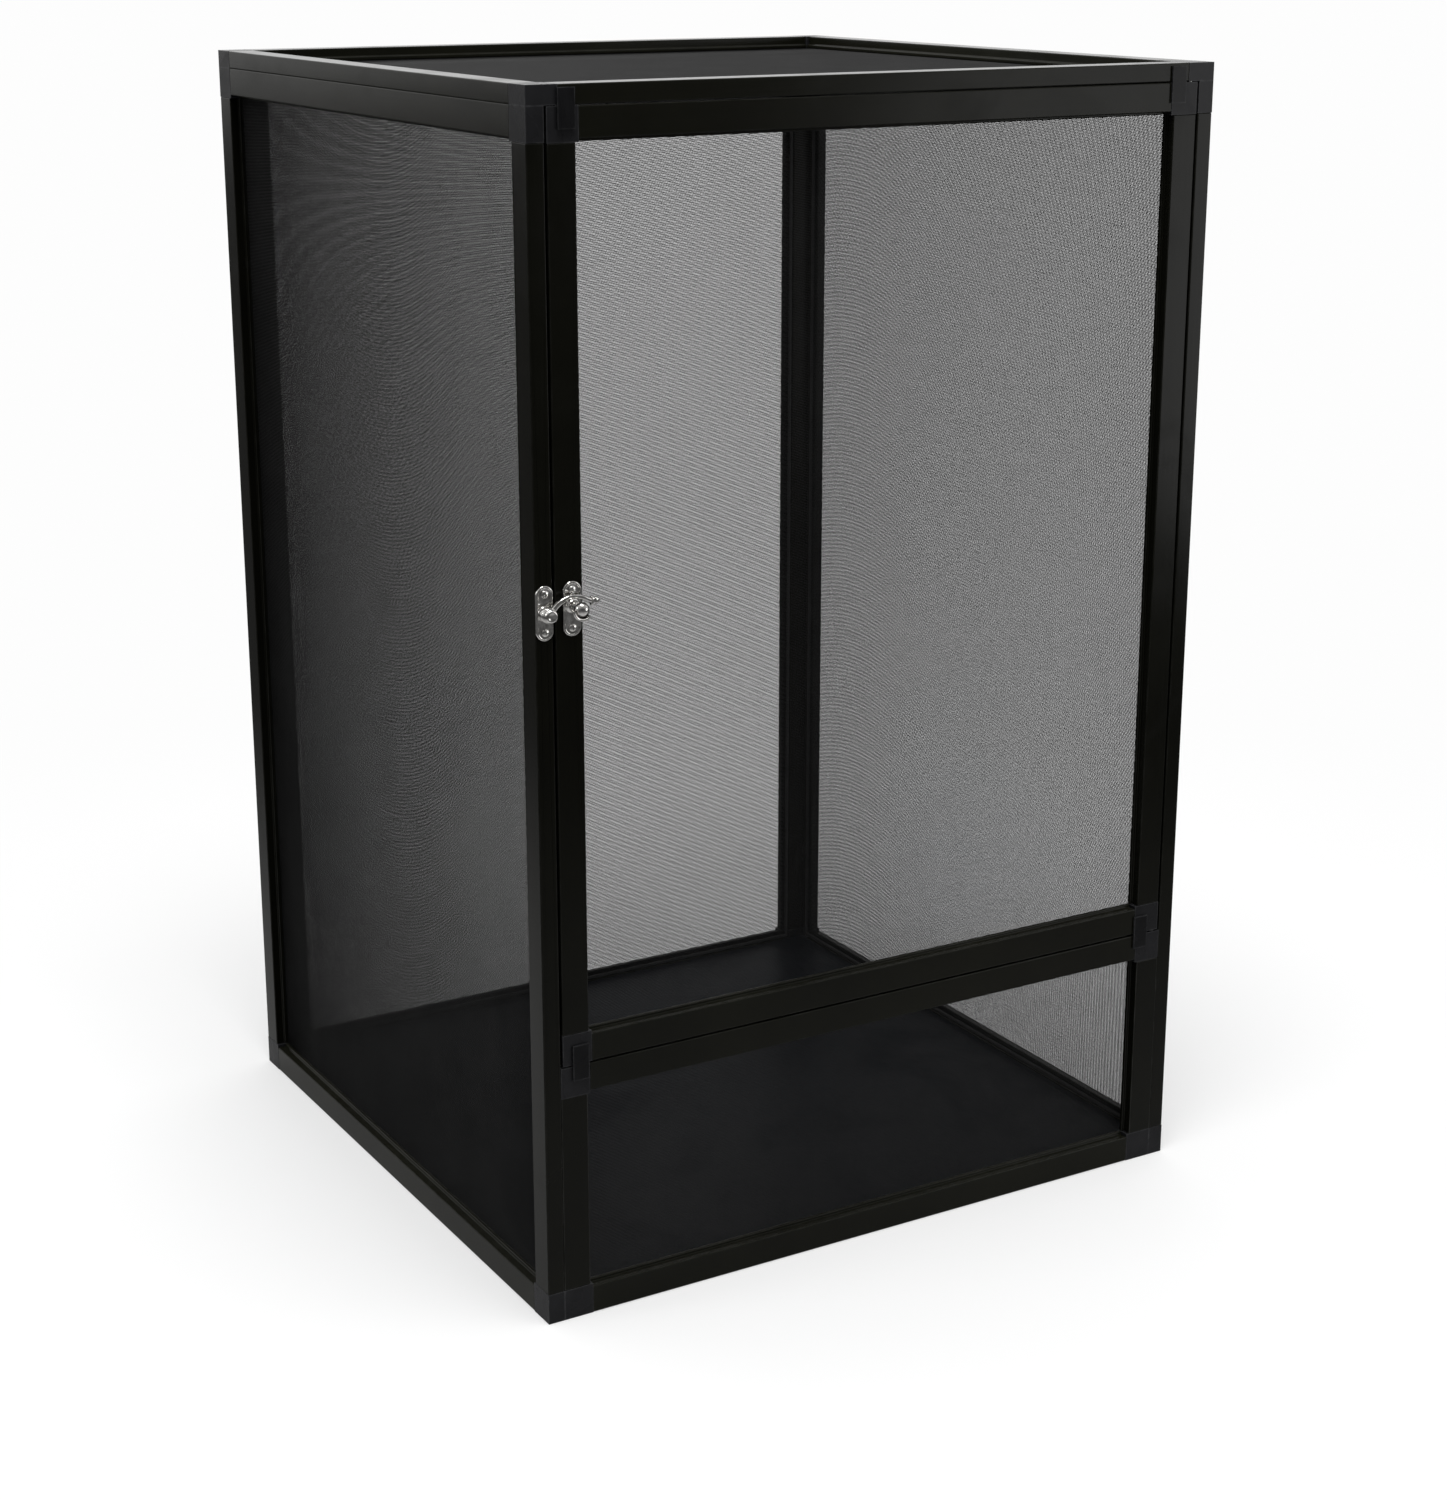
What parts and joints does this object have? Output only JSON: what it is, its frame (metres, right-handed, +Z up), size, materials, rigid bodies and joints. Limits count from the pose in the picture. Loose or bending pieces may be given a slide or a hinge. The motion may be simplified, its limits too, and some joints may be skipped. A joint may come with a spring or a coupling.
{
  "type": "mesh reptile cage",
  "caption": "Upright mesh reptile cage of black screen frames with plastic corner keys, a side-hung front door, a low front frame, a solid floor and a swing-hook latch.",
  "frame": {"origin": "middle of the part's box, latch included, on the surface that the cage stands on", "axes": "+Z up, front of the cage towards -Y, +X to the right seen from the front"},
  "size_m": [0.62, 0.6224, 0.96],
  "materials": {
    "frame_black": "satin black coated aluminium extrusion",
    "key_black": "moulded, fine texture",
    "screen_black": "black coated woven wire",
    "spline_rubber": "matt",
    "floor_navy": "semi-gloss sheet",
    "ledge_steel": "plain",
    "washer_plastic": "plain",
    "latch_nickel": "nickel plate"
  },
  "bodies": {
    "frame": {"left_top_rail": "frame_black", "left_bottom_rail": "frame_black", "left_front_stile": "frame_black", "left_back_stile": "frame_black", "left_corners": "key_black", "left_screen": "screen_black", "left_spline": "spline_rubber", "right_top_rail": "frame_black", "right_bottom_rail": "frame_black", "right_front_stile": "frame_black", "right_back_stile": "frame_black", "right_corners": "key_black", "right_screen": "screen_black", "right_spline": "spline_rubber", "back_top_rail": "frame_black", "back_bottom_rail": "frame_black", "back_left_stile": "frame_black", "back_right_stile": "frame_black", "back_corners": "key_black", "back_screen": "screen_black", "back_spline": "spline_rubber", "top_front_rail": "frame_black", "top_back_rail": "frame_black", "top_left_rail": "frame_black", "top_right_rail": "frame_black", "top_corners": "key_black", "top_screen": "screen_black", "top_spline": "spline_rubber", "lower_top_rail": "frame_black", "lower_bottom_rail": "frame_black", "lower_left_stile": "frame_black", "lower_right_stile": "frame_black", "lower_corners": "key_black", "lower_screen": "screen_black", "lower_spline": "spline_rubber", "floor_board": "floor_navy", "floor_ledges": "ledge_steel", "ledge_screws": "ledge_steel", "panel_dowels": "ledge_steel", "pivot_pins": "ledge_steel", "pivot_washer": "washer_plastic", "latch_plate": "latch_nickel", "latch_plate_screws": "latch_nickel", "latch_rivet": "latch_nickel"},
    "door": {"door_top_rail": "frame_black", "door_bottom_rail": "frame_black", "door_latch_stile": "frame_black", "door_hinge_stile": "frame_black", "door_corners": "key_black", "door_screen": "screen_black", "door_spline": "spline_rubber", "door_stops": "key_black", "catch_plate": "latch_nickel", "catch_screws": "latch_nickel"},
    "latch_arm": {"latch_arm": "latch_nickel"}
  },
  "joints": [
    {"name": "door_hinge", "type": "hinge", "parent": "frame", "child": "door", "pos_m": [0.2885, -0.2848, 0.5805], "axis": [0, 0, 1], "range_deg": [0, 115]},
    {"name": "latch_pivot", "type": "hinge", "parent": "frame", "child": "latch_arm", "pos_m": [-0.30275, -0.2888, 0.581], "axis": [0, -1, 0], "range_deg": [0, 95]}
  ]
}
